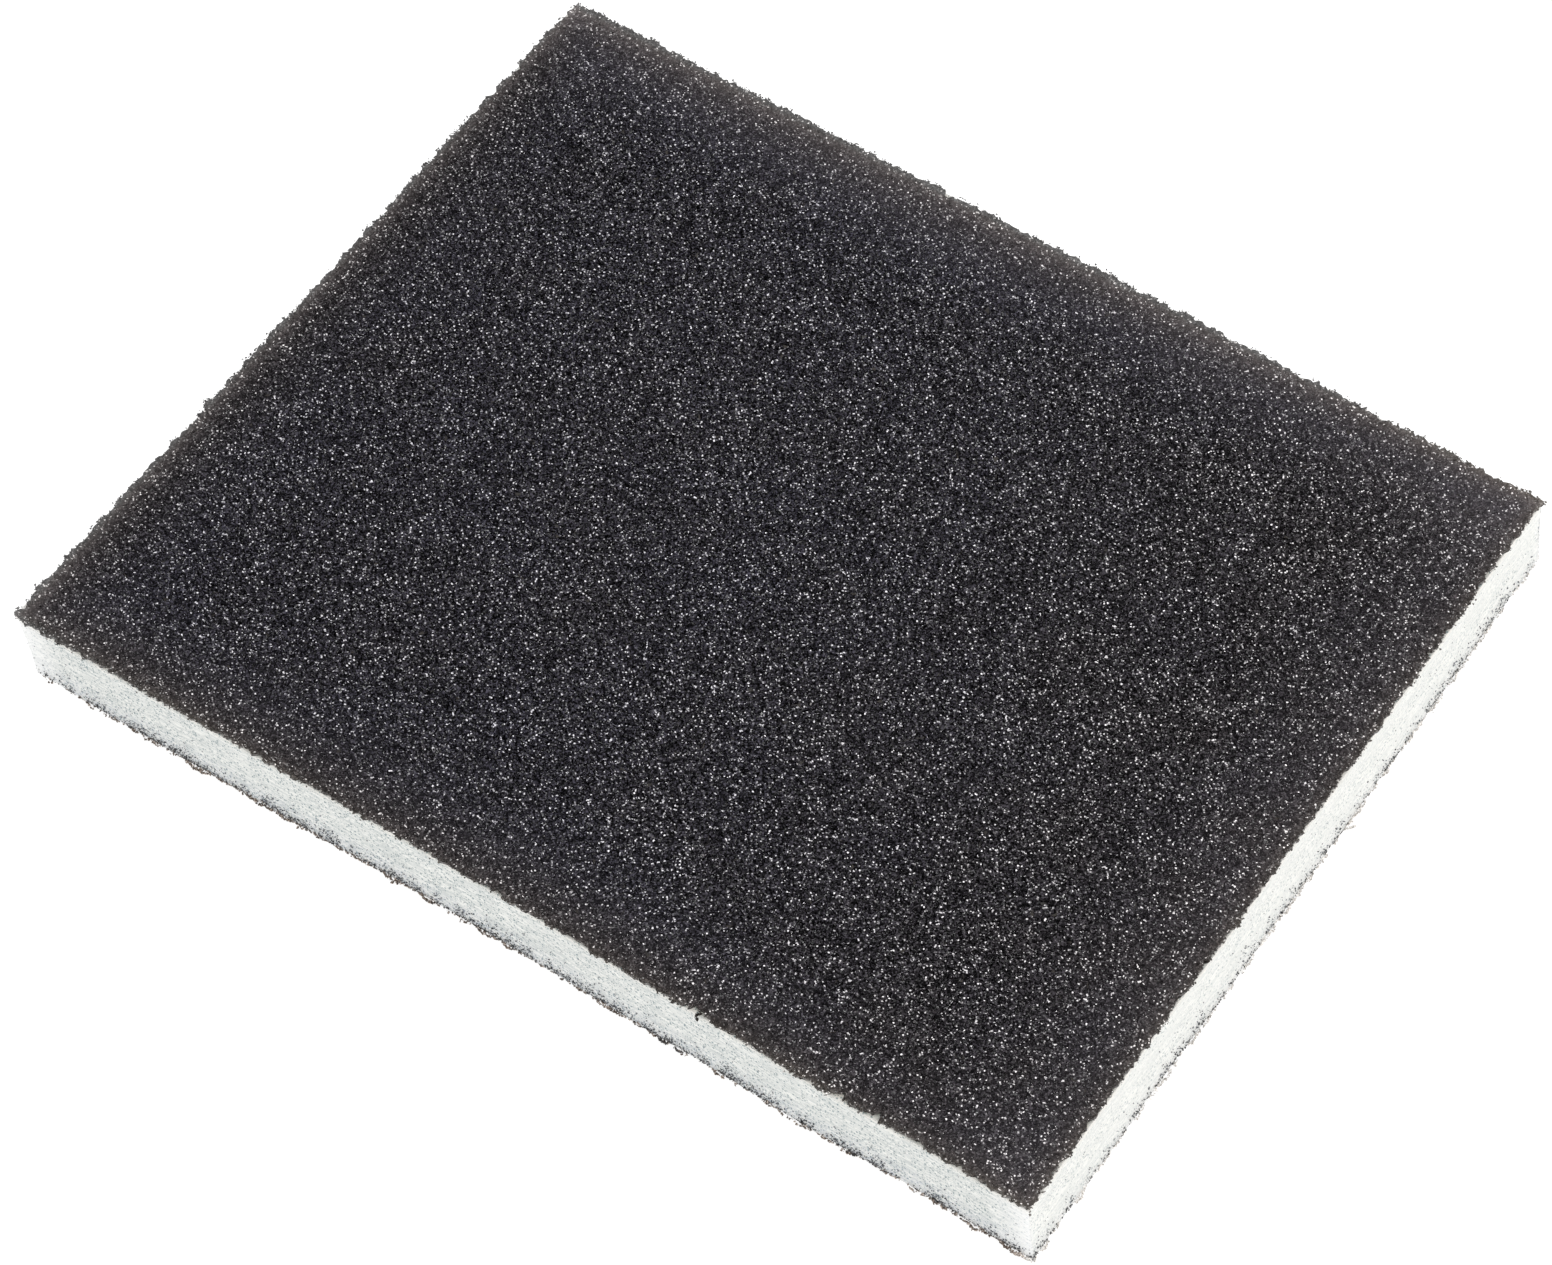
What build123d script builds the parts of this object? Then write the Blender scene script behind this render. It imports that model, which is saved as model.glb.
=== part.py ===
"""A double-sided foam sanding pad: a soft foam core with an abrasive coat on both broad faces.

The pad is a laminate. Each abrasive coat has three layers, in the order in which they are laid on
the foam: the make coat is the resin that the grain sits in, the grain coat is one layer of silicon
carbide grains, and the size coat is the thin resin film that locks the grains together. The whole
stack is cut to size with one knife, so every layer has the same outline.

Millimetres. +X runs along the length, +Y along the width and +Z up through the thickness. The
origin is the centre of the lower working face, which the pad rests on.
"""

from build123d import *

import os

# Driving dimensions
PAD_LENGTH = 123.0
PAD_WIDTH = 98.0
CORNER_RADIUS = 0.4
FOAM_THICKNESS = 10.0
MAKE_THICKNESS = 0.15
GRAIN_THICKNESS = 0.30
SIZE_THICKNESS = 0.05

# The layers of one abrasive coat, from the foam outwards
COAT_LAYERS = {
    "make_coat": MAKE_THICKNESS,
    "grain_coat": GRAIN_THICKNESS,
    "size_coat": SIZE_THICKNESS,
}
FOAM_BOTTOM = sum(COAT_LAYERS.values())
FOAM_TOP = FOAM_BOTTOM + FOAM_THICKNESS


def make_layer(name, low, thickness):
    """Cut one layer of the laminate to the pad's outline, from the height low upwards."""
    with BuildPart() as layer:
        with BuildSketch(Plane.XY.offset(low)):
            RectangleRounded(PAD_LENGTH, PAD_WIDTH, CORNER_RADIUS)
        extrude(amount=thickness)
    layer.part.label = name
    export_step(layer.part, f"parts/{name}.step")


def make_foam_core():
    """The flexible slab that gives under the hand and lets the pad follow a curve."""
    make_layer("foam_core", FOAM_BOTTOM, FOAM_THICKNESS)


def make_coats():
    """Both abrasive coats, each stacked away from the foam."""
    clear_of_foam = 0.0
    for name, thickness in COAT_LAYERS.items():
        make_layer(f"top_{name}", FOAM_TOP + clear_of_foam, thickness)
        clear_of_foam += thickness
        make_layer(f"bottom_{name}", FOAM_BOTTOM - clear_of_foam, thickness)


os.makedirs("parts", exist_ok=True)
make_foam_core()
make_coats()
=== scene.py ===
"""The looks of a double-sided foam sanding pad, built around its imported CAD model.

Each abrasive coat is a bed of sharp grains sunk in dark resin, with taller grains standing proud of
it and loose ones along the cut edges. The foam between them is cut with a knife, which leaves open
cells on its sides, and grit that the knife dragged out of the lower coat sticks to the foam.

Metres, in the frame of the CAD model: +X along the length, +Y along the width, +Z up.
"""

import math

import bmesh
import bpy
import numpy as np
from mathutils import Matrix, Vector


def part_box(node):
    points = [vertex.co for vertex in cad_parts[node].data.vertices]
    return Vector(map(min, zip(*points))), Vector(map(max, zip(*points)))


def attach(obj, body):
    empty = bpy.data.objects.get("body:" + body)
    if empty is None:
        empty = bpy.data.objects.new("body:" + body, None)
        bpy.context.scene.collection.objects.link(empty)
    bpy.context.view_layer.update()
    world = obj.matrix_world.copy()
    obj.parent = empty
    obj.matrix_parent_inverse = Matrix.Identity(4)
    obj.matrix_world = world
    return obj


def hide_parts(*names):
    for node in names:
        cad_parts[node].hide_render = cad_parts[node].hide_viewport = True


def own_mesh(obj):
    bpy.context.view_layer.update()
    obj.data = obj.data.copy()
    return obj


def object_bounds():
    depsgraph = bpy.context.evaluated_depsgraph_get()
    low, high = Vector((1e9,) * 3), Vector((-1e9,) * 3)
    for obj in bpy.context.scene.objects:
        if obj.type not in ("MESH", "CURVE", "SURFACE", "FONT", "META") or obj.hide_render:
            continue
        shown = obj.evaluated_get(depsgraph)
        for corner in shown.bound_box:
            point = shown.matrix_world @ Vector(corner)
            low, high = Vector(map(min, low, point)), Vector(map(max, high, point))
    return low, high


MM = 0.001

# The camera looks down at the near corner, and leans a little to one side
CAMERA_AZIMUTH = 36.3
CAMERA_ELEVATION = 56.1
CAMERA_LEAN = -2.4
CAMERA_DISTANCE = 0.516
CAMERA_LENS = 117.8
AIM_X = 4.6 * MM
AIM_Y = -8.1 * MM

ROOM_LIGHT = 0.80
TABLE_GLOW = 0.80
TABLE_WIDTH = 6.0
TABLE_DROP = 0.02 * MM

# Softboxes: name, direction, size in metres, power in watts, and colour
SOFTBOX_DISTANCE = 0.7
WHITE = (1, 1, 1)
SOFTBOXES = (
    ("back_softbox", (-0.5, 0.8, 1.3), 0.14, 0.45, WHITE),
    ("right_softbox", (1.0, 0.2, 0.45), 0.20, 0.58, (1.0, 0.945, 0.925)),
    ("left_softbox", (-1.0, -0.2, 0.9), 0.20, 0.12, WHITE),
    ("front_softbox", (0.2, -1.0, 0.8), 0.20, 0.20, WHITE),
    ("low_softbox", (0.25, 1.0, 0.25), 0.30, 0.50, WHITE),
)

# The pad's outline: its corners, how far the foot lies from the top, and the knife's wandering
CORNER_RADIUS = 0.25 * MM
SHEAR_X = 0.60 * MM
SHEAR_Y = 0.35 * MM
WANDER = 0.05 * MM
WANDER_WAVES = range(3, 24)
STATION_COUNT = 12000

# How far out each side was cut, at its start and at its end: front, right, back, left
CUT_SIDES = (
    (0.16 * MM, 0.02 * MM),
    (-0.24 * MM, -0.22 * MM),
    (-0.08 * MM, 0.44 * MM),
    (0.04 * MM, 0.38 * MM),
)

# Where a side was cut bowed: x and y of the middle of the bow, its width, and how far out it goes
CUT_BOWS = (
    (-8 * MM, -49 * MM, 22 * MM, -0.50 * MM),
    (10 * MM, 49 * MM, 28 * MM, 0.26 * MM),
)

# Grain of the abrasive coats. Jitter is in shares of the pitch, and levels are above the foam
BED_PITCH = 0.365 * MM
BED_JITTER = 0.36
BED_LEVEL = 0.30 * MM
BED_RELIEF = 0.16 * MM
BED_EDGE_BAND = 2.0 * MM
PROUD_PITCH = 0.90 * MM
PROUD_MARGIN = 0.15 * MM
GRAIN_SIZE = 0.30 * MM
RESIN_TOP = 0.16 * MM
RESIN_POINTS = 1600

# The rim of the resin film, bottom to top: how far out it stands and how high, in millimetres
RESIN_PROFILE = ((-0.10, 0.0), (-0.02, 0.02), (0.02, 0.08), (-0.01, 0.14), (-0.12, RESIN_TOP / MM))

# Sizes of what the materials draw
GRAIN_FACET = 0.15 * MM
RIM_FACET = 0.17 * MM
GRIT_FACET = 0.20 * MM
PORE_SIZE = 0.30 * MM
SCORE_WIDTH = 0.28 * MM
FOOT_DARKENING_PATCH = 0.28 * MM
BROWN_PATCH = 9 * MM
RESIN_LUMP = 0.5 * MM
BUMP_HEIGHT = 0.05 * MM

# How wide the worn edges, the pale lip (partly dusty and worn, partly a painted glow) and the
# translucent corners (painted near white) are
WORN_BAND = 12 * MM
LIP_BAND = 4 * MM
CORNER_GLOW = 5 * MM

# The foam's cut sides, and the grit on them
CELL_PITCH = 0.25 * MM
CELL_DEPTH = 0.07 * MM
SIDE_HOLLOW = 0.12 * MM
GLUE_DEPTH = 1.2 * MM
GRIT_PER_MM = 50
GRIT_HEIGHT = 1.00 * MM
GRIT_SIZE = 0.25 * MM
GRIT_BY_SIDE = (1.0, 0.43, 0.6, 0.6)

# The lower coat has come away at the left and right corners, and lost grains along the right side
BARE_CORNER = 5.0 * MM
THIN_ON_RIGHT = 0.25

# Notches in the upper coat's edge: x and y of the step, depth, and the length of the ramp
TOP_NOTCHES = (
    (40.1 * MM, -49 * MM, 0.95 * MM, -1.3 * MM),
    (40.1 * MM, -49 * MM, -0.20 * MM, 2.0 * MM),
    (44.2 * MM, -49 * MM, 1.30 * MM, -1.4 * MM),
    (44.2 * MM, -49 * MM, -0.12 * MM, 1.5 * MM),
    (23.4 * MM, -49 * MM, 0.35 * MM, -1.4 * MM),
    (23.4 * MM, -49 * MM, 0.40 * MM, 1.6 * MM),
    (-7.5 * MM, 49 * MM, 0.22 * MM, 0.9 * MM),
    (2.8 * MM, 49 * MM, 0.20 * MM, 0.7 * MM),
    (-61.5 * MM, -21.8 * MM, 0.25 * MM, 0.7 * MM),
)

# Chips out of a coat's edge: their lengths in millimetres, and their sizes against the deepest
CHIP_LENGTHS = (0.3, 1.6)
CHIP_SIZES = (0.3, 1.0)

# Shreds on the upper coat's edge: name, slot, path in millimetres, thickness, number of grains
TOP_SHREDS = (
    (
        "top_hooked_shred",
        "resin",
        ((23.5, -48.75, 10.8), (23.2, -48.95, 10.8), (23.1, -49.1, 10.4), (23.35, -49.15, 10.2)),
        0.20 * MM,
        70,
    ),
    (
        "top_edge_whisker",
        "grain",
        ((61.1, -47.1, 10.7), (61.3, -46.7, 10.5), (61.5, -46.4, 10.4)),
        0.06 * MM,
        12,
    ),
    (
        "top_front_tuft",
        "grain",
        ((11.2, -48.7, 10.8), (11.35, -48.9, 10.7), (11.3, -49.1, 10.6)),
        0.09 * MM,
        14,
    ),
    (
        "top_corner_shred",
        "grain",
        ((61.5, -49.0, 10.8), (61.6, -49.2, 10.5), (61.65, -49.3, 10.2)),
        0.10 * MM,
        9,
    ),
)

# A loose shred on the lower coat's right edge, and where dark ones stick out along its front, all in
# millimetres
LOOSE_SHRED = ((61.3, 9.1, 0.35), (61.7, 9.7, 0.3), (62.0, 10.2, 0.3))
FRONT_SHREDS = (17.8, 19.8, 40.5)

FOAM_SEED = 11
TOP_SEED = 21
BOTTOM_SEED = 31

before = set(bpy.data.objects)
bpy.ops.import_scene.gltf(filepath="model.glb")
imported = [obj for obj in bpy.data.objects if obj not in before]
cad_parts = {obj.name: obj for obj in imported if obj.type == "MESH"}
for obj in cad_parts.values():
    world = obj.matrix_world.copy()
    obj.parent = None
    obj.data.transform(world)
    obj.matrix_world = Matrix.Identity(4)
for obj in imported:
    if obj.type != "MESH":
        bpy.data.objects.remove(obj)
cad_low, cad_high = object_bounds()
HALF_X = cad_high.x
HALF_Y = cad_high.y
PAD_TOP = cad_high.z
FOAM_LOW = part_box("foam_core")[0].z
FOAM_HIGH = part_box("foam_core")[1].z
FOAM_THICKNESS = FOAM_HIGH - FOAM_LOW

# Where the broad faces are painted paler towards an edge, partly as dusty, worn grains and partly
# as a painted glow of the light from behind: the axis, how far out the edge is, how much paler the
# haze makes the face there, and how much paler still the worn lip is
DUST_AND_GLOW_SIDES = (
    ("X", HALF_X, 0.030, 0.038),
    ("X", -HALF_X, 0.010, 0.095),
    ("Y", HALF_Y, 0.050, 0.072),
    ("Y", -HALF_Y, 0.024, 0.032),
)


# ---------------------------------------------------------------------------------- camera, light


def make_camera():
    """A long lens, above the near corner."""
    azimuth = math.radians(CAMERA_AZIMUTH)
    elevation = math.radians(CAMERA_ELEVATION)
    back = Vector(
        (
            math.sin(azimuth) * math.cos(elevation),
            -math.cos(azimuth) * math.cos(elevation),
            math.sin(elevation),
        )
    )
    level = Vector((math.cos(azimuth), math.sin(azimuth), 0))
    turn = Matrix.Rotation(math.radians(CAMERA_LEAN), 3, back)
    right = turn @ level
    up = back.cross(right)
    data = bpy.data.cameras.new("camera")
    data.lens = CAMERA_LENS
    data.clip_start = 0.01
    camera = bpy.data.objects.new("camera", data)
    bpy.context.scene.collection.objects.link(camera)
    axes = Matrix((right, up, back)).transposed().to_4x4()
    aim = Vector((AIM_X, AIM_Y, PAD_TOP))
    camera.matrix_world = Matrix.Translation(aim + back * CAMERA_DISTANCE) @ axes
    bpy.context.scene.camera = camera


def make_softbox(name, direction, size, power, colour):
    """A square soft light that points at the pad."""
    data = bpy.data.lights.new(name, "AREA")
    data.color = colour
    data.shape = "SQUARE"
    data.size = size
    data.energy = power
    light = bpy.data.objects.new(name, data)
    bpy.context.scene.collection.objects.link(light)
    towards = Vector(direction).normalized()
    light.location = towards * SOFTBOX_DISTANCE
    light.rotation_euler = towards.to_track_quat("Z", "Y").to_euler()


def make_lights():
    """A white room that gives the fill, and softboxes all round whose light the grains catch."""
    world = bpy.data.worlds.new("room")
    world.use_nodes = True
    backdrop = world.node_tree.nodes["Background"]
    backdrop.inputs["Color"].default_value = (1, 1, 1, 1)
    backdrop.inputs["Strength"].default_value = ROOM_LIGHT
    bpy.context.scene.world = world
    world.cycles_visibility.glossy = False
    for softbox in SOFTBOXES:
        make_softbox(*softbox)
    bpy.context.scene.view_settings.view_transform = "Standard"


def make_floor():
    """A white table, lit from within."""
    bpy.ops.mesh.primitive_plane_add(size=TABLE_WIDTH, location=(0, 0, -TABLE_DROP))
    floor = bpy.context.object
    floor.name = "floor"
    material, nodes, shader = new_material("table_white")
    shader.inputs["Base Color"].default_value = (0.45, 0.45, 0.45, 1)
    shader.inputs["Roughness"].default_value = 0.9
    shader.inputs["Specular IOR Level"].default_value = 0.0
    shader.inputs["Emission Color"].default_value = (1, 1, 1, 1)
    shader.inputs["Emission Strength"].default_value = TABLE_GLOW
    floor.data.materials.append(material)


# ---------------------------------------------------------------------------------- materials


def new_material(name):
    """(material, its nodes as a small builder, its main shader)"""
    material = bpy.data.materials.new(name)
    material.use_nodes = True
    return material, NodeBuilder(material.node_tree), material.node_tree.nodes["Principled BSDF"]


class NodeBuilder:
    """Adds nodes to a material; an input is a plain value or the socket that feeds it."""

    def __init__(self, tree):
        self.tree = tree

    def add(self, kind, inputs, **settings):
        node = self.tree.nodes.new(kind)
        for name, value in settings.items():
            setattr(node, name, value)
        for name, value in inputs.items():
            self.feed(node.inputs[name], value)
        return node

    def feed(self, socket, value):
        if isinstance(value, bpy.types.NodeSocket):
            self.tree.links.new(value, socket)
        else:
            socket.default_value = value

    def position(self):
        """The point on the surface, in metres in the piece's own frame."""
        return self.add("ShaderNodeTexCoord", {}).outputs["Object"]

    def coordinate(self, axis):
        """One of X, Y and Z of the point on the surface."""
        return self.channel(self.position(), axis)

    def facing(self, axis):
        """How far the surface faces along X, Y or Z, from -1 to 1."""
        return self.channel(self.add("ShaderNodeNewGeometry", {}).outputs["Normal"], axis)

    def cells(self, size):
        """Voronoi cells of about that size in metres."""
        inputs = {"Vector": self.position(), "Scale": 1 / size, "Randomness": 1.0}
        return self.add("ShaderNodeTexVoronoi", inputs)

    def clouds(self, size):
        """Soft noise from 0 to 1 with patches of about that size in metres."""
        inputs = {"Vector": self.position(), "Scale": 1 / size, "Detail": 3.0}
        return self.add("ShaderNodeTexNoise", inputs).outputs[0]

    def maths(self, operation, a, b=0.0, c=0.0):
        node = self.add("ShaderNodeMath", {0: a, 1: b, 2: c}, operation=operation)
        return node.outputs[0]

    def vectors(self, operation, a, b=(0.0, 0.0, 0.0)):
        node = self.add("ShaderNodeVectorMath", {0: a, 1: b}, operation=operation)
        return node.outputs[0]

    def scaled(self, vector, amount):
        node = self.add("ShaderNodeVectorMath", {0: vector, "Scale": amount}, operation="SCALE")
        return node.outputs[0]

    def span(self, value, low, high, to_low=0.0, to_high=1.0):
        """Maps low..high to to_low..to_high, and holds the ends."""
        inputs = {0: value, 1: low, 2: high, 3: to_low, 4: to_high}
        return self.add("ShaderNodeMapRange", inputs).outputs[0]

    def blend(self, share, a, b):
        """Colour a at share 0 and colour b at share 1."""
        node = self.add("ShaderNodeMix", {0: share, 6: a, 7: b}, data_type="RGBA")
        return node.outputs[2]

    def channel(self, vector, name):
        return self.add("ShaderNodeSeparateXYZ", {0: vector}).outputs[name]

    def tilted_normal(self, colour, amount):
        """The surface normal, leaned at random by a colour that is the same over one facet."""
        normal = self.add("ShaderNodeNewGeometry", {}).outputs["Normal"]
        lean = self.scaled(self.vectors("SUBTRACT", colour, (0.5, 0.5, 0.5)), amount)
        return self.vectors("NORMALIZE", self.vectors("ADD", normal, lean))

    def bumped_normal(self, height, strength):
        """The surface normal over small lumps, where height runs from 0 to 1."""
        inputs = {"Height": height, "Distance": BUMP_HEIGHT, "Strength": strength}
        return self.add("ShaderNodeBump", inputs).outputs[0]


def near_edge(nodes, axis, half, band):
    """0 in the middle, rising to 1 over the last band before each of the pad's ends on that axis."""
    return nodes.span(nodes.maths("ABSOLUTE", nodes.coordinate(axis)), half - band, half)


def edge_share(nodes):
    """0 over most of the broad face, rising to 1 along its cut edges."""
    near_end = near_edge(nodes, "X", HALF_X, WORN_BAND)
    near_side = near_edge(nodes, "Y", HALF_Y, WORN_BAND)
    nearest = nodes.maths("MAXIMUM", near_end, near_side)
    return nodes.maths("MULTIPLY", nearest, nearest)


def dust_and_edge_glow(nodes):
    """How much paler the grains are painted towards the edges, partly as dusty, worn grains and partly
    as a painted glow of the light from behind: a haze along every edge, and a narrow lip.
    """
    total = 0.0
    for axis, reach, haze, lip in DUST_AND_GLOW_SIDES:
        place = nodes.coordinate(axis)
        haze_share = nodes.maths("POWER", nodes.span(place, reach * 0.7, reach), 2.0)
        total = nodes.maths("MULTIPLY_ADD", haze_share, haze, total)
        lip_start = reach - math.copysign(LIP_BAND, reach)
        lip_share = nodes.maths("POWER", nodes.span(place, lip_start, reach), 4.0)
        total = nodes.maths("MULTIPLY_ADD", lip_share, lip, total)
    return total


def tone(nodes, chance, darkest, brightest):
    """A brightness from darkest to brightest; equal steps of chance multiply it by equal factors."""
    swing = math.log(brightest / darkest)
    power = nodes.maths("MULTIPLY_ADD", chance, swing, math.log(darkest))
    return nodes.maths("EXPONENT", power)


def smear_tint(nodes):
    """The colour of resin smeared over the lip: brown at the front and right, neutral elsewhere."""
    diagonal = nodes.maths("SUBTRACT", nodes.coordinate("X"), nodes.coordinate("Y"))
    brown_share = nodes.span(diagonal, -15 * MM, 10 * MM)
    return nodes.blend(brown_share, (1.03, 1.00, 0.99, 1), (1.13, 1.00, 0.88, 1))


def grain_material():
    """Black silicon carbide: bluish facets from near black to bright, browner towards the edges, and a
    few facets with glints painted into their colour.
    """
    material, nodes, shader = new_material("silicon_carbide_grain")
    facets = nodes.cells(GRAIN_FACET)
    chance = nodes.channel(facets.outputs["Color"], "X")
    other_chance = nodes.channel(facets.outputs["Color"], "Y")
    patches = nodes.span(nodes.clouds(BROWN_PATCH), 0.35, 0.75, 0.0, 0.3)
    right = nodes.span(nodes.coordinate("X"), 0, HALF_X, 0.0, 0.5)
    browned = nodes.maths("MAXIMUM", nodes.maths("ADD", patches, right), edge_share(nodes))
    tint = nodes.blend(browned, (1.00, 0.95, 1.28, 1), (1.14, 0.97, 0.93, 1))
    smeared = nodes.maths("POWER", edge_share(nodes), 14.0)
    tint = nodes.blend(smeared, tint, smear_tint(nodes))
    # Paler towards the edges: partly dusty and worn grains, partly a painted glow of the light from
    # behind.
    dull = nodes.maths("ADD", tone(nodes, chance, 0.0010, 0.138), dust_and_edge_glow(nodes))
    # Painted glints: a few facets get a bright colour, stronger towards the right end, standing in for
    # sparkle from the lamps.
    painted_glint_gradient = nodes.span(nodes.coordinate("X"), -HALF_X, HALF_X, 1.10, 1.45)
    glint = nodes.maths("MULTIPLY", nodes.span(chance, 0.955, 1.0), painted_glint_gradient)
    painted_glints = nodes.scaled(nodes.blend(browned, (0.98, 0.97, 1.0, 1), (1.0, 0.97, 0.95, 1)), glint)
    colour = nodes.vectors("ADD", nodes.scaled(tint, dull), painted_glints)
    nodes.feed(shader.inputs["Base Color"], colour)
    nodes.feed(shader.inputs["Roughness"], nodes.span(other_chance, 0.0, 1.0, 0.09, 0.30))
    shader.inputs["IOR"].default_value = 1.75
    nodes.feed(shader.inputs["Normal"], nodes.tilted_normal(facets.outputs["Color"], 0.9))
    return material


def rim_material():
    """Grains of the cut edges: smeared with resin, so brown, but pale along the right side."""
    material, nodes, shader = new_material("resin_smeared_grain")
    facets = nodes.cells(RIM_FACET)
    chance = nodes.channel(facets.outputs["Color"], "X")
    at_right = nodes.span(nodes.coordinate("X"), HALF_X - 2 * MM, HALF_X)
    brown = nodes.blend(chance, (1.40, 1.00, 0.74, 1), (1.14, 0.99, 0.88, 1))
    tint = nodes.blend(at_right, brown, (1.04, 1.00, 0.95, 1))
    paler = nodes.maths("MULTIPLY", at_right, 0.56)
    shade = nodes.maths("ADD", tone(nodes, chance, 0.04, 0.75), paler)
    colour = nodes.scaled(tint, shade)
    nodes.feed(shader.inputs["Base Color"], colour)
    nodes.feed(shader.inputs["Roughness"], nodes.span(chance, 0.0, 1.0, 0.25, 0.60))
    nodes.feed(shader.inputs["Normal"], nodes.tilted_normal(facets.outputs["Color"], 0.7))
    return material


def resin_material():
    """The dark binder between and under the grains: brown-black, satin and a little lumpy."""
    material, nodes, shader = new_material("binder_resin")
    lumps = nodes.clouds(RESIN_LUMP)
    dark = (0.012, 0.010, 0.009, 1)
    light = (0.075, 0.060, 0.050, 1)
    nodes.feed(shader.inputs["Base Color"], nodes.blend(nodes.span(lumps, 0.3, 0.8), dark, light))
    nodes.feed(shader.inputs["Roughness"], nodes.span(lumps, 0.3, 0.7, 0.30, 0.55))
    nodes.feed(shader.inputs["Normal"], nodes.bumped_normal(lumps, 0.8))
    return material


def painted_corner_glow(nodes):
    """Where the foam is painted near white for the light coming through: 1 along the front's upright
    corners, less on the right and behind.
    """
    near_end = near_edge(nodes, "X", HALF_X, CORNER_GLOW)
    near_side = near_edge(nodes, "Y", HALF_Y, CORNER_GLOW)
    facing_right = nodes.span(nodes.facing("X"), 0.4, 0.9)
    to_the_front = nodes.span(nodes.coordinate("Y"), -HALF_Y, HALF_Y, 0.9, 0.0)
    held_back = nodes.maths("MULTIPLY", facing_right, to_the_front)
    in_front = nodes.span(nodes.coordinate("Y"), -HALF_Y / 2, HALF_Y, 1.0, 0.15)
    glow = nodes.maths("MULTIPLY", nodes.maths("MULTIPLY", near_end, near_side), in_front)
    return nodes.maths("MULTIPLY", glow, nodes.maths("SUBTRACT", 1.0, held_back))


def foot_darkening_share(nodes):
    """How far the foam's colour goes darker and bluer: towards its foot, in patches, and mostly on the
    front.
    """
    low = nodes.span(nodes.coordinate("Z"), 1.0 * MM, 4.5 * MM, 1.0, 0.0)
    front = nodes.span(nodes.facing("Y"), -0.9, -0.4, 1.0, 0.12)
    patches = nodes.span(nodes.clouds(FOOT_DARKENING_PATCH), 0.42, 0.62)
    return nodes.maths("MULTIPLY", nodes.maths("MULTIPLY", low, front), patches)


def foam_material():
    """Pale foam, fine-celled and mottled, with pores painted dark as shade in the open cells and as
    dirt, scored by the knife, and creamy where it is glued.
    """
    material, nodes, shader = new_material("pale_foam")
    pores = nodes.cells(PORE_SIZE)
    depth = nodes.span(pores.outputs["Distance"], 0.15, 0.60)
    chance = nodes.channel(pores.outputs["Color"], "X")
    # Dark spots painted at the pores: partly shade in the open cells, partly dirt.
    shade = nodes.maths("MULTIPLY", nodes.span(depth, 0.0, 1.0, 1.0, 0.0), chance)
    drawn_out = nodes.vectors("MULTIPLY", nodes.position(), (0.12, 0.12, 1.0))
    scores = nodes.add("ShaderNodeTexNoise", {"Vector": drawn_out, "Scale": 1 / SCORE_WIDTH})
    scored = nodes.span(scores.outputs[0], 0.35, 0.65, 0.30, 0.0)
    shade = nodes.maths("MAXIMUM", shade, scored)
    # The painted pore shade is fainter on the face towards the right, where the strongest light falls.
    pore_shade_by_facing = nodes.span(nodes.facing("X"), 0.4, 0.9, 1.35, 0.70)
    shade = nodes.maths("MULTIPLY", shade, pore_shade_by_facing)
    colour = nodes.blend(shade, (0.886, 0.886, 0.850, 1), (0.19, 0.26, 0.28, 1))
    # The colour goes darker and bluer towards the foot, mostly on the front.
    foot_darkening = nodes.maths("MULTIPLY", foot_darkening_share(nodes), 0.40)
    colour = nodes.blend(foot_darkening, colour, (0.38, 0.40, 0.52, 1))
    # Painted glow: the front's upright corners are painted near white for the light that comes through
    # the foam.
    glow = nodes.maths("MULTIPLY", painted_corner_glow(nodes), 0.75)
    colour = nodes.blend(glow, colour, (0.97, 0.97, 0.965, 1))
    glued = nodes.span(nodes.coordinate("Z"), FOAM_HIGH - GLUE_DEPTH, FOAM_HIGH)
    colour = nodes.blend(glued, colour, nodes.vectors("MULTIPLY", colour, (1.02, 0.98, 0.935)))
    nodes.feed(shader.inputs["Base Color"], colour)
    shader.inputs["Roughness"].default_value = 0.9
    shader.inputs["Specular IOR Level"].default_value = 0.2
    shader.inputs["Subsurface Weight"].default_value = 0.5
    shader.inputs["Subsurface Radius"].default_value = (1.0, 1.0, 1.0)
    shader.inputs["Subsurface Scale"].default_value = 2.0 * MM
    nodes.feed(shader.inputs["Normal"], nodes.bumped_normal(depth, 0.6))
    return material


def grit_material():
    """Loose grit on the foam: blue-grey dust and dark splinters, browner near the lower coat."""
    material, nodes, shader = new_material("dusty_grit")
    facets = nodes.cells(GRIT_FACET)
    chance = nodes.channel(facets.outputs["Color"], "X")
    brown_share = nodes.span(nodes.coordinate("Z"), 0.3 * MM, 1.3 * MM, 1.0, 0.0)
    tint = nodes.blend(brown_share, (0.92, 0.98, 1.10, 1), (1.08, 0.99, 0.94, 1))
    dusty = nodes.span(nodes.coordinate("Z"), 1.0 * MM, 4.0 * MM, 0.0, 0.10)
    shade = nodes.maths("ADD", tone(nodes, chance, 0.012, 0.35), dusty)
    nodes.feed(shader.inputs["Base Color"], nodes.scaled(tint, shade))
    nodes.feed(shader.inputs["Roughness"], nodes.span(chance, 0.0, 1.0, 0.30, 0.70))
    nodes.feed(shader.inputs["Normal"], nodes.tilted_normal(facets.outputs["Color"], 0.6))
    return material


# ---------------------------------------------------------------------------------- the outline


SIDES = (2 * HALF_X, 2 * HALF_Y, 2 * HALF_X, 2 * HALF_Y)
PERIMETER = sum(SIDES)
SIDE_STARTS = np.cumsum((0,) + SIDES[:-1])
STATIONS = np.linspace(0, PERIMETER, STATION_COUNT, endpoint=False)


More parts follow.
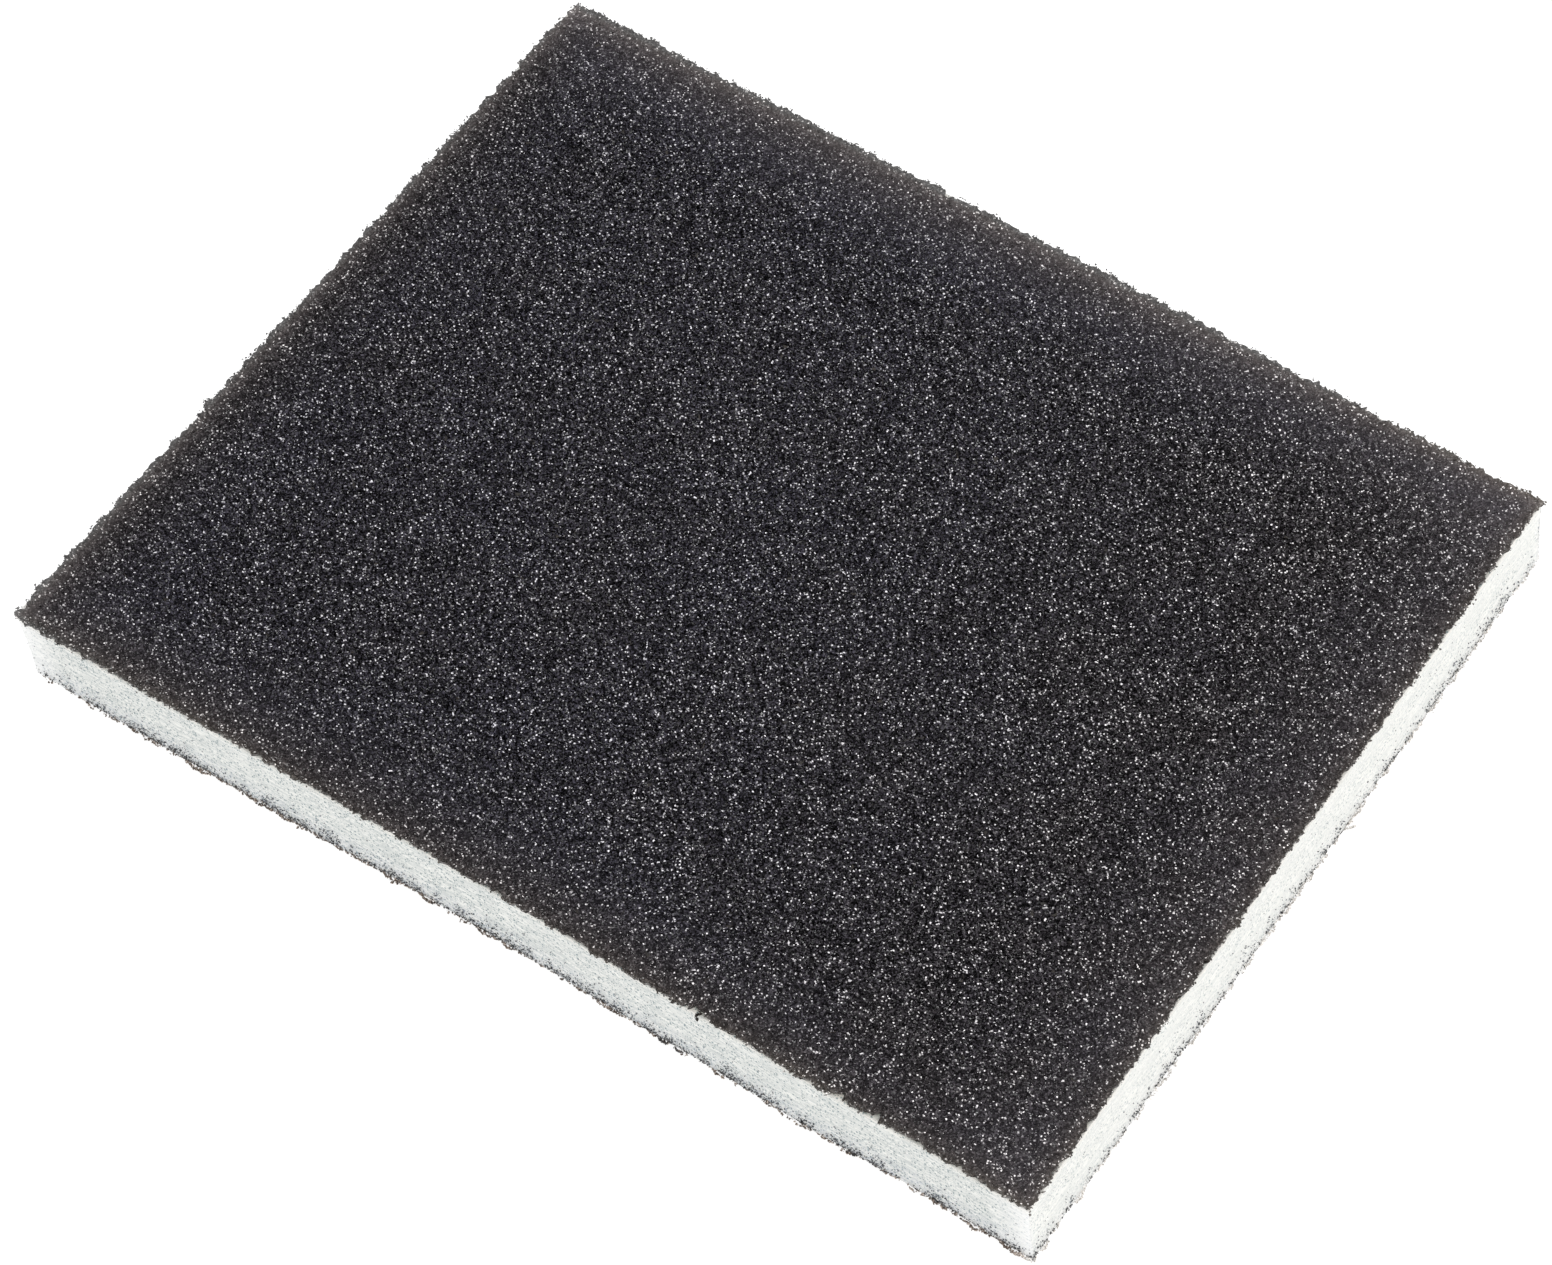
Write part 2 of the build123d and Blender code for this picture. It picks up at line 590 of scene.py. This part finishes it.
def around(x, y):
    """How far a point of the outline lies round it, anticlockwise from the front left corner."""
    front = x + HALF_X
    right = SIDES[0] + y + HALF_Y
    back = SIDES[0] + SIDES[1] + HALF_X - x
    left = PERIMETER - (y + HALF_Y)
    gaps = np.stack([y + HALF_Y, HALF_X - x, HALF_Y - y, x + HALF_X])
    return np.choose(np.argmin(np.abs(gaps), axis=0), [front, right, back, left])


def waves(rng, counts, amplitude):
    """A closed wavy line round the outline, made of that many random waves each way round."""
    line = np.zeros(len(STATIONS))
    for count in counts:
        phase = rng.uniform(0, 2 * math.pi)
        line += rng.normal() * np.sin(2 * math.pi * count * STATIONS / PERIMETER + phase)
    return amplitude * line / math.sqrt(len(counts) / 2)


def noise_line(rng, grain, amplitude):
    """Random wobble round the outline, with bumps about one grain long."""
    knots = int(PERIMETER / grain)
    values = rng.normal(size=knots)
    places = np.linspace(0, PERIMETER, knots, endpoint=False)
    return amplitude * np.interp(STATIONS, places, values, period=PERIMETER)


def notch(place, depth, length):
    """A saw-tooth bite out of an edge: a sharp step, with the edge coming back over that length."""
    beyond = (STATIONS - place + PERIMETER / 2) % PERIMETER - PERIMETER / 2
    run = beyond / length
    return -depth * np.where((run >= 0) & (run < 1), 1 - run, 0)


def chips(rng, count, deepest):
    """Notches of many sizes, where the coat has broken away from its edge."""
    line = np.zeros(len(STATIONS))
    for _ in range(count):
        length = rng.uniform(*CHIP_LENGTHS) * MM * rng.choice((-1, 1))
        line += notch(rng.uniform(0, PERIMETER), rng.uniform(*CHIP_SIZES) ** 2 * deepest, length)
    return line


def side_of(distance):
    """Which side a point of the outline is on: 0 front, 1 right, 2 back, 3 left."""
    return np.searchsorted(SIDE_STARTS, distance, side="right") - 1


def knife_line(rng):
    """How far the knife strayed outwards. All the layers were cut together, so all share it."""
    ends = np.stack([SIDE_STARTS + CORNER_RADIUS, SIDE_STARTS + SIDES - CORNER_RADIUS], 1)
    straight = np.interp(STATIONS, ends.ravel(), np.array(CUT_SIDES).ravel(), period=PERIMETER)
    line = waves(rng, WANDER_WAVES, WANDER) + straight
    for x, y, width, reach in CUT_BOWS:
        middle = float(around(np.array(x), np.array(y)))
        bow = reach * np.exp(-(((STATIONS - middle) / width) ** 2))
        line += np.where(side_of(STATIONS) == side_of(middle), bow, 0)
    return line


def bareness():
    """How far the lower coat has come away: wholly at the left corner and at the right one."""
    gaps = [np.abs(STATIONS - place) for place in (0, PERIMETER, SIDES[0] + SIDES[1])]
    return np.clip(1 - np.min(gaps, axis=0) / BARE_CORNER, 0, 1)


def ragged(rng, roughness, chip_count, chip_depth):
    """How far one coat's broken edge stands out from the knife's line."""
    fine = noise_line(rng, 0.28 * MM, roughness)
    coarse = noise_line(rng, 1.1 * MM, 0.55 * roughness)
    return fine + coarse + chips(rng, chip_count, chip_depth)


def seen_notches():
    """The deeper notches of the upper coat that the photograph shows."""
    line = np.zeros(len(STATIONS))
    for x, y, depth, length in TOP_NOTCHES:
        line += notch(float(around(np.array(x), np.array(y))), depth, length)
    return line


def read(line, distance):
    """The line's value at any distance round the outline."""
    return np.interp(distance, STATIONS, line, period=PERIMETER)


def outline(count):
    """Points and outward normals, evenly spaced round the rounded rectangle."""
    distance = np.linspace(0, PERIMETER, count, endpoint=False)
    side = side_of(distance)
    along = distance - SIDE_STARTS[side]
    x = np.choose(side, [along - HALF_X, HALF_X, HALF_X - along, -HALF_X])
    y = np.choose(side, [-HALF_Y, along - HALF_Y, HALF_Y, HALF_Y - along])
    points = np.stack([x, y], 1)
    core = np.array([HALF_X, HALF_Y]) - CORNER_RADIUS
    inner = np.clip(points, -core, core)
    normals = points - inner
    normals /= np.linalg.norm(normals, axis=1)[:, None]
    return distance, inner + normals * CORNER_RADIUS, normals


def sheared(points):
    """The pad lies a little askew: the lower its points are, the further they lie to the back right."""
    lean = np.array([SHEAR_X, SHEAR_Y]) * (1 - points[:, 2:] / PAD_TOP)
    return np.column_stack([points[:, :2] + lean, points[:, 2]])


# ---------------------------------------------------------------------------------- mesh helpers


def new_piece(name, points, faces, material, smooth=0):
    """A mesh object in the frame's own coordinates. Its first faces, that many, are shaded smooth."""
    mesh = bpy.data.meshes.new(name)
    inside = np.clip(points, (-1, -1, 0), (1, 1, PAD_TOP))
    mesh.from_pydata(sheared(inside).tolist(), [], faces)
    mesh.materials.append(material)
    mesh.polygons.foreach_set("use_smooth", np.arange(len(faces)) < smooth)
    mesh.update()
    piece = bpy.data.objects.new(name, mesh)
    bpy.context.scene.collection.objects.link(piece)
    return piece


def stacked_loops(loops):
    """A closed solid from a stack of loops of points, each above the one before. Walls come first."""
    count = len(loops[0])
    near = np.arange(count)
    following = np.roll(near, -1)
    walls = [
        np.stack([near, following, following + count, near + count], 1) + level * count
        for level in range(len(loops) - 1)
    ]
    walls = np.concatenate(walls).tolist()
    bottom = near[::-1].tolist()
    top = (near + (len(loops) - 1) * count).tolist()
    return np.concatenate(loops), walls + [bottom, top], len(walls)


def crystal_shapes(rng, count):
    """Shapes of crushed mineral: hulls of a few random points, about one unit across."""
    shapes = []
    for _ in range(count):
        points = rng.normal(size=(8, 3))
        points *= rng.uniform(0.38, 0.56, (8, 1)) / np.linalg.norm(points, axis=1)[:, None]
        hull = bmesh.new()
        for point in points:
            hull.verts.new(point)
        bmesh.ops.convex_hull(hull, input=hull.verts)
        loose = [v for v in hull.verts if not v.link_faces]
        bmesh.ops.delete(hull, geom=loose, context="VERTS")
        bmesh.ops.recalc_face_normals(hull, faces=hull.faces)
        hull.verts.index_update()
        corners = np.array([v.co for v in hull.verts])
        faces = np.array([[v.index for v in f.verts] for f in hull.faces])
        shapes.append((corners, faces))
        hull.free()
    return shapes


def random_turns(rng, count):
    """That many random rotations, as matrices."""
    q = rng.normal(size=(count, 4))
    q /= np.linalg.norm(q, axis=1)[:, None]
    w, x, y, z = q.T
    rows = [
        [1 - 2 * (y * y + z * z), 2 * (x * y - z * w), 2 * (x * z + y * w)],
        [2 * (x * y + z * w), 1 - 2 * (x * x + z * z), 2 * (y * z - x * w)],
        [2 * (x * z - y * w), 2 * (y * z + x * w), 1 - 2 * (x * x + y * y)],
    ]
    return np.moveaxis(np.array(rows), 2, 0)


def scatter_grains(name, places, sizes, material, rng, shapes):
    """One piece that holds a grain at each place, each turned and stretched at random."""
    chosen = rng.integers(len(shapes), size=len(places))
    turns = random_turns(rng, len(places))
    stretch = rng.uniform(0.75, 1.35, (len(places), 3)) * np.asarray(sizes)[:, None]
    points, faces, total = [], [], 0
    for index, (corners, triangles) in enumerate(shapes):
        mine = np.nonzero(chosen == index)[0]
        made = np.einsum("nij,nkj->nki", turns[mine], corners[None] * stretch[mine][:, None])
        points.append((made + places[mine][:, None]).reshape(-1, 3))
        firsts = total + np.arange(len(mine)) * len(corners)
        faces.append((triangles[None] + firsts[:, None, None]).reshape(-1, 3))
        total += len(mine) * len(corners)
    return new_piece(name, np.concatenate(points), np.concatenate(faces).tolist(), material)


# ---------------------------------------------------------------------------------- the pieces


class Coat:
    """One abrasive coat. Heights are above the foam, whichever way the coat faces."""

    def __init__(self, name, body, foam_level, facing, edge):
        self.name = name
        self.body = body
        self.foam_level = foam_level
        self.facing = facing
        self.edge = edge
        self.edge_grains_per_mm = 9
        self.edge_spread = 0.11 * MM
        self.clump_depth = 0.06 * MM
        self.edge_heights = (0.06 * MM, 0.40 * MM)
        self.recess = np.zeros(len(STATIONS))
        self.bare = np.zeros(len(STATIONS))

    def lifted(self, xy, height):
        """Points of the frame, at these places and heights above the foam."""
        z = self.foam_level + self.facing * np.broadcast_to(height, len(xy))
        return np.column_stack([xy, z])

    def facing_out(self, faces):
        """Faces wound so that they face outwards on the coat that is upside down too."""
        return faces if self.facing > 0 else [face[::-1] for face in faces]

    def settle(self, piece, *nodes, slot):
        """Every piece of the coat moves with its body, and stands for these CAD nodes."""
        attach(piece, self.body)
        if nodes:
            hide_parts(*nodes)


def bed_grid(coat, knife, rng):
    """Places for the bed's points: a jittered grid, pushed out to the coat's ragged outline."""
    columns = round(2 * HALF_X / BED_PITCH) + 1
    rows = round(2 * HALF_Y / BED_PITCH) + 1
    x, y = np.meshgrid(np.linspace(-HALF_X, HALF_X, columns), np.linspace(-HALF_Y, HALF_Y, rows))
    place = np.stack([x.ravel(), y.ravel()], 1)
    core = np.array([HALF_X, HALF_Y]) - CORNER_RADIUS
    inner = np.clip(place, -core, core)
    over = place - inner
    far = np.linalg.norm(over, axis=1)
    reach = np.maximum(np.abs(over).max(1), 1e-12)
    place = inner + over * (reach / np.maximum(far, 1e-12))[:, None]
    line = knife + coat.edge - coat.recess
    shift = np.zeros_like(place)
    for axis, half in ((0, HALF_X), (1, HALF_Y)):
        for sign in (-1, 1):
            foot = place.copy()
            foot[:, axis] = sign * half
            gap = half - sign * place[:, axis]
            hold = np.clip(1 - gap / BED_EDGE_BAND, 0, 1)
            shift[:, axis] += sign * hold * read(line, around(foot[:, 0], foot[:, 1]))
    rim = (np.abs(x.ravel()) > HALF_X - 1e-9) | (np.abs(y.ravel()) > HALF_Y - 1e-9)
    jitter = rng.uniform(-BED_JITTER, BED_JITTER, place.shape) * BED_PITCH
    jitter[rim] *= 0.25
    return place + shift + jitter, columns, rows


def grid_triangles(columns, rows, rng):
    """Two triangles for each cell of a grid, split along a random diagonal."""
    corner = (np.arange(rows - 1)[:, None] * columns + np.arange(columns - 1)).ravel()
    a, b, c, d = corner, corner + 1, corner + columns + 1, corner + columns
    flip = rng.random(len(corner)) < 0.5
    first = np.where(flip[:, None], np.stack([a, b, d], 1), np.stack([a, b, c], 1))
    second = np.where(flip[:, None], np.stack([b, c, d], 1), np.stack([a, c, d], 1))
    return np.concatenate([first, second]).tolist()


def grid_rim(columns, rows):
    """The grid's outermost points, anticlockwise."""
    last = (rows - 1) * columns
    front = np.arange(columns - 1)
    right = np.arange(rows - 1) * columns + columns - 1
    back = last + np.arange(columns - 1, 0, -1)
    left = np.arange(rows - 1, 0, -1) * columns
    return np.concatenate([front, right, back, left])


def make_bed(coat, knife, rng, material):
    """The bed: grains packed side by side, as a closed slab with a crumpled outer face."""
    place, columns, rows = bed_grid(coat, knife, rng)
    height = BED_LEVEL + rng.uniform(-1, 1, len(place)) * BED_RELIEF
    rim = grid_rim(columns, rows)
    height[rim] = rng.uniform(0.9, 1.4, len(rim)) * BED_LEVEL
    count = len(place)
    base = count + np.arange(len(rim))
    points = np.concatenate([coat.lifted(place, height), coat.lifted(place[rim], 0.02 * MM)])
    walls = np.stack([rim, base, np.roll(base, -1), np.roll(rim, -1)], 1).tolist()
    faces = grid_triangles(columns, rows, rng) + walls + [base[::-1].tolist()]
    bed = new_piece(f"{coat.name}_grain_bed", points, coat.facing_out(faces), material)
    coat.settle(bed, f"{coat.name}_grain_coat", f"{coat.name}_size_coat", slot="grain")


def inside_of(place, line, margin):
    """Which places lie at least that far inside the outline, all round."""
    inside = np.ones(len(place), bool)
    for axis, half in ((0, HALF_X), (1, HALF_Y)):
        for sign in (-1, 1):
            foot = place.copy()
            foot[:, axis] = sign * half
            reach = half + read(line, around(foot[:, 0], foot[:, 1]))
            inside &= sign * place[:, axis] < reach - margin
    return inside


def make_proud_grains(coat, knife, rng, material, shapes):
    """Taller grains, scattered over the bed and standing out of it."""
    columns = int(2 * HALF_X / PROUD_PITCH)
    rows = int(2 * HALF_Y / PROUD_PITCH)
    x, y = np.meshgrid(np.arange(columns) + 0.5, np.arange(rows) + 0.5)
    place = np.stack([x.ravel(), y.ravel()], 1) + rng.uniform(-0.5, 0.5, (columns * rows, 2))
    place = place * (2 * HALF_X / columns, 2 * HALF_Y / rows) - (HALF_X, HALF_Y)
    place = place[inside_of(place, knife + coat.edge - coat.recess, PROUD_MARGIN)]
    sizes = GRAIN_SIZE * rng.uniform(0.8, 1.4, len(place))
    height = BED_LEVEL + rng.uniform(-0.05, 0.03, len(place)) * MM
    places = coat.lifted(place, height)
    name = f"{coat.name}_proud_grains"
    coat.settle(scatter_grains(name, places, sizes, material, rng, shapes), slot="grain")


def make_edge_grains(coat, knife, rng, material, shapes):
    """Loose and half-buried grains along the coat's cut edge, in uneven clumps."""
    distance, point, normal = outline(int(PERIMETER / MM * coat.edge_grains_per_mm))
    clumps = read(noise_line(rng, 1.3 * MM, 1.0), distance)
    chance = np.clip(0.60 + 0.40 * clumps, 0.08, 1) * (1 - 0.92 * read(coat.bare, distance))
    kept = rng.random(len(point)) < chance
    distance, point, normal, clumps = distance[kept], point[kept], normal[kept], clumps[kept]
    out = read(knife + coat.edge, distance) + rng.normal(0, 1, len(point)) * coat.edge_spread
    out += np.clip(clumps - 0.4, 0, 1.5) * coat.clump_depth
    low, high = coat.edge_heights
    height = high - (high - low) * rng.random(len(point)) ** 2.5
    places = coat.lifted(point + normal * out[:, None], height)
    sizes = GRAIN_SIZE * rng.uniform(0.5, 1.15, len(point))
    name = f"{coat.name}_edge_grains"
    coat.settle(scatter_grains(name, places, sizes, material, rng, shapes), slot="grain")


def make_flake(coat, name, path, thickness, count, rng, material, shapes, slot="grain"):
    """A shred of the coat: grains held together along a bent path."""
    path = np.array(path) * MM
    share = np.linspace(0, len(path) - 1, count)
    knots = np.arange(len(path))
    places = np.stack([np.interp(share, knots, path[:, axis]) for axis in range(3)], 1)
    places += rng.normal(0, thickness / 3, places.shape)
    sizes = GRAIN_SIZE * rng.uniform(0.45, 0.85, count)
    flake = scatter_grains(name, places, sizes, material, rng, shapes)
    coat.settle(flake, slot=slot)


def make_resin(coat, knife, rng, material):
    """The make coat: a thin film of resin whose rim shows as a dark line, with a few runs."""
    distance, point, normal = outline(RESIN_POINTS)
    line = read(knife + coat.edge - coat.recess, distance)
    run = np.clip(read(noise_line(rng, 0.9 * MM, 1.0), distance) - 0.8, 0, 2) * 0.10 * MM
    loops = []
    for out, height in RESIN_PROFILE:
        wobble = rng.normal(0, 0.012, len(point)) * MM
        offset = line + out * MM + wobble
        sunk = height * MM - run * (out > -0.05) * (1 - height * MM / RESIN_TOP)
        loops.append(coat.lifted(point + normal * offset[:, None], sunk))
    points, faces, _ = stacked_loops(loops)
    film = new_piece(f"{coat.name}_resin_film", points, coat.facing_out(faces), material)
    coat.settle(film, f"{coat.name}_make_coat", slot="resin")


def hollow_at(level):
    """How far the knife hollowed the foam's sides, at that share of the foam's height."""
    return SIDE_HOLLOW * 4 * level * (1 - level)


def make_foam(knife, rng, material):
    """The foam slab, with hollow cut sides and an open cell at each dent."""
    distance, point, normal = outline(int(PERIMETER / CELL_PITCH))
    line = read(knife, distance)
    levels = np.linspace(0, 1, round(FOAM_THICKNESS / CELL_PITCH) + 1)
    loops = []
    for level in levels:
        inside = 0 < level < 1
        dent = CELL_DEPTH * rng.random(len(point)) ** 2 * inside
        open_cell = (rng.random(len(point)) < 0.05) * CELL_DEPTH * inside
        offset = line - hollow_at(level) - dent - open_cell
        along = rng.uniform(-0.25, 0.25, len(point)) * CELL_PITCH * inside
        slid = point + np.stack([-normal[:, 1], normal[:, 0]], 1) * along[:, None]
        z = FOAM_LOW + FOAM_THICKNESS * level
        z = z + rng.uniform(-0.25, 0.25, len(point)) * CELL_PITCH * inside
        loops.append(np.column_stack([slid + normal * offset[:, None], z]))
    points, faces, walls = stacked_loops(loops)
    foam = new_piece("foam_slab", points, faces, material, smooth=walls)
    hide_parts("foam_core")
    squash_with_foam(foam)


def squash_with_foam(piece):
    """The foam, and what sticks to its sides, moves with the lower coat's body and gets a mesh of its
    own.
    """
    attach(piece, "lower_half")
    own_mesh(piece)


def grit_density(distance, clumps):
    """How likely a grain of grit is, round the outline: it eases from side to side at the corners."""
    spots = np.stack([SIDE_STARTS + 2 * MM, SIDE_STARTS + SIDES - 2 * MM], 1).ravel()
    by_side = np.interp(distance, spots, np.repeat(GRIT_BY_SIDE, 2))
    still_coated = 1 - 0.8 * read(bareness(), distance)
    return by_side * np.clip(0.6 + 0.4 * clumps, 0.1, 1) * still_coated


def make_grit(knife, rng, material, shapes):
    """Grit on the foam's sides: dense just above the lower coat, and thinning out upwards."""
    distance, point, normal = outline(int(PERIMETER / MM * GRIT_PER_MM))
    clumps = read(noise_line(rng, 0.9 * MM, 1.0), distance)
    climb = rng.exponential(GRIT_HEIGHT, len(point)) * (0.8 + 0.2 * clumps)
    stray = rng.random(len(point)) < 0.10
    climb = np.where(stray, rng.uniform(0, 0.97, len(point)) * FOAM_THICKNESS, climb)
    held = rng.random(len(point)) < grit_density(distance, clumps)
    kept = held & (climb > 0) & (climb < FOAM_THICKNESS)
    distance, point, normal = distance[kept], point[kept], normal[kept]
    climb = climb[kept]
    offset = read(knife, distance) - hollow_at(climb / FOAM_THICKNESS)
    places = np.column_stack([point + normal * offset[:, None], FOAM_LOW + climb])
    sizes = GRIT_SIZE * rng.uniform(0.45, 1.25, len(point)) * np.exp(-climb / (10 * MM))
    grit = scatter_grains("foam_side_grit", places, sizes, material, rng, shapes)
    squash_with_foam(grit)


def make_coat(coat, knife, rng, shapes, grain, rim, resin):
    """The pieces that both coats have."""
    make_resin(coat, knife, rng, resin)
    make_bed(coat, knife, rng, grain)
    make_proud_grains(coat, knife, rng, grain, shapes)
    make_edge_grains(coat, knife, rng, rim, shapes)


def make_top_coat(knife, grain, resin):
    """The upper coat, with the notches and the shreds that the photograph shows."""
    rng = np.random.default_rng(TOP_SEED)
    shapes = crystal_shapes(rng, 24)
    edge = ragged(rng, 0.15 * MM, 200, 0.42 * MM) + seen_notches()
    top = Coat("top", "upper_coat", FOAM_HIGH, 1, edge)
    make_coat(top, knife, rng, shapes, grain, grain, resin)
    materials = {"grain": grain, "resin": resin}
    for name, slot, path, thickness, count in TOP_SHREDS:
        make_flake(top, name, path, thickness, count, rng, materials[slot], shapes, slot)


def make_bottom_coat(knife, grain, rim, resin, grit):
    """The lower coat: bare at two corners, with more and finer grit along its edge."""
    rng = np.random.default_rng(BOTTOM_SEED)
    shapes = crystal_shapes(rng, 24)
    edge = ragged(rng, 0.05 * MM, 110, 0.35 * MM) + noise_line(rng, 0.80 * MM, 0.12 * MM)
    bottom = Coat("bottom", "lower_half", FOAM_LOW, -1, edge)
    bottom.recess = 0.35 * MM + bareness() * 0.8 * MM
    bottom.bare = np.maximum(bareness(), THIN_ON_RIGHT * (side_of(STATIONS) == 1))
    bottom.edge_grains_per_mm = 27
    bottom.edge_spread = 0.045 * MM
    bottom.clump_depth = 0.10 * MM
    bottom.edge_heights = (-0.30 * MM, 0.42 * MM)
    make_coat(bottom, knife, rng, shapes, grain, rim, resin)
    make_flake(bottom, "bottom_loose_shred", LOOSE_SHRED, 0.18 * MM, 40, rng, rim, shapes)
    for x in FRONT_SHREDS:
        clump = ((x - 0.5, -48.98, 0.45), (x, -49.12, 0.35), (x + 0.45, -49.02, 0.4))
        make_flake(bottom, f"bottom_front_shred_{x:.0f}", clump, 0.19 * MM, 45, rng, grit, shapes)


def make_pad():
    """The foam slab, its grit, and the two coats with their shreds."""
    rng = np.random.default_rng(FOAM_SEED)
    knife = knife_line(rng)
    make_foam(knife, rng, foam_material())
    grit = grit_material()
    make_grit(knife, rng, grit, crystal_shapes(rng, 16))
    grain = grain_material()
    rim = rim_material()
    resin = resin_material()
    make_top_coat(knife, grain, resin)
    make_bottom_coat(knife, grain, rim, resin, grit)


make_camera()
make_lights()
make_floor()
make_pad()

bpy.context.view_layer.update()
